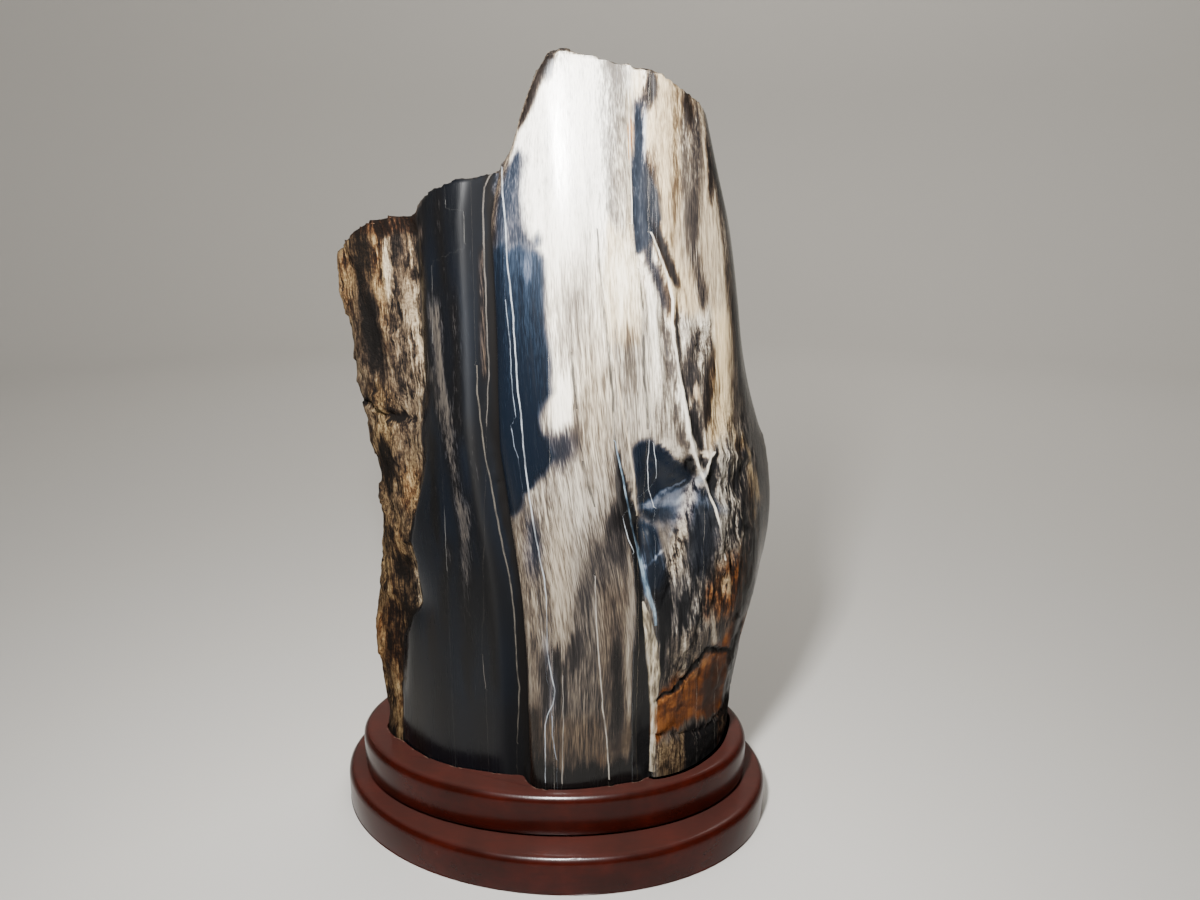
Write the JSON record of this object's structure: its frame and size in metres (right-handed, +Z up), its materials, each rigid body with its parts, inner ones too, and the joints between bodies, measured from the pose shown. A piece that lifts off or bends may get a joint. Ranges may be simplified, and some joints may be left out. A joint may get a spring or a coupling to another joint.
{
  "type": "petrified wood on stand",
  "caption": "Tall slab of petrified wood with a polished banded face, rough bark side and stepped broken top, standing in a fitted two-tier lacquered wooden stand.",
  "frame": {"origin": "centre of the stand's box on the surface it stands on", "axes": "+Z up along the stone, polished front towards -Y, rough bark band towards -X"},
  "size_m": [0.2578, 0.1918, 0.4263],
  "materials": {
    "petrified_wood": "satin",
    "lacquered_wood": "gloss"
  },
  "bodies": {
    "root": {"petrified_wood": "petrified_wood", "stand_upper_tier": "lacquered_wood", "stand_base": "lacquered_wood"}
  },
  "joints": []
}
